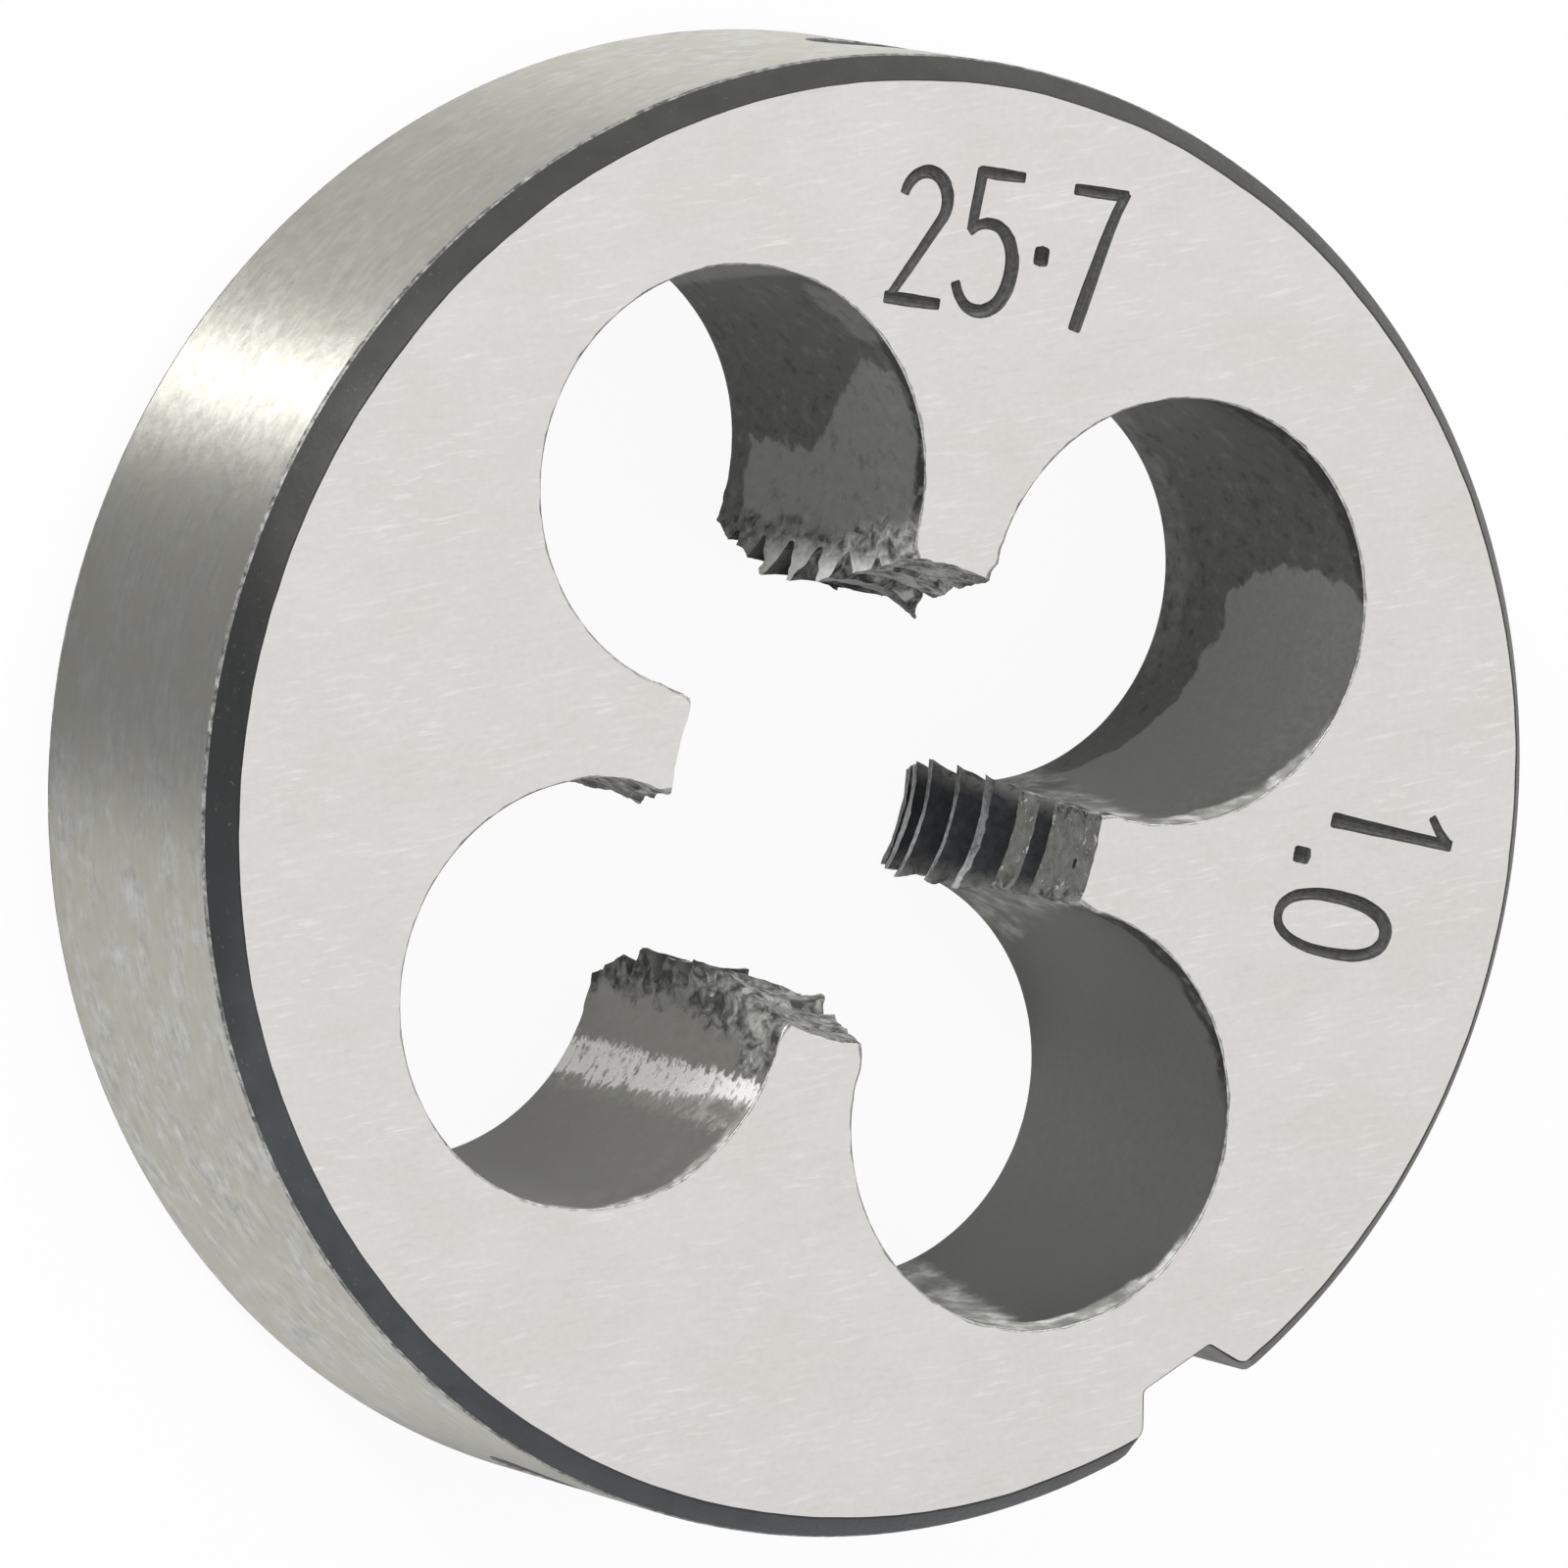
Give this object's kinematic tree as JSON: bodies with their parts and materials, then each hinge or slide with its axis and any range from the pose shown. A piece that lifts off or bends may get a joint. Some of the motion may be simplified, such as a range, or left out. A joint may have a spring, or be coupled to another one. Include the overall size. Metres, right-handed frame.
{
  "type": "round threading die",
  "caption": "Round steel die that cuts an external M8 x 1 thread: a threaded bore opened by chip holes, with a rim slot and conical screw seats.",
  "frame": {"origin": "centre of the back face, on the thread's axis", "axes": "+Z along the die's axis, out of the face with the size marks and the longer cutting lead; +X through the middle of a land"},
  "size_m": [0.025, 0.025, 0.007],
  "materials": {
    "die_steel": "ground satin faces and rim, with blackened chamfers, chip holes and thread"
  },
  "bodies": {
    "root": {"die_body": "die_steel"}
  },
  "joints": []
}
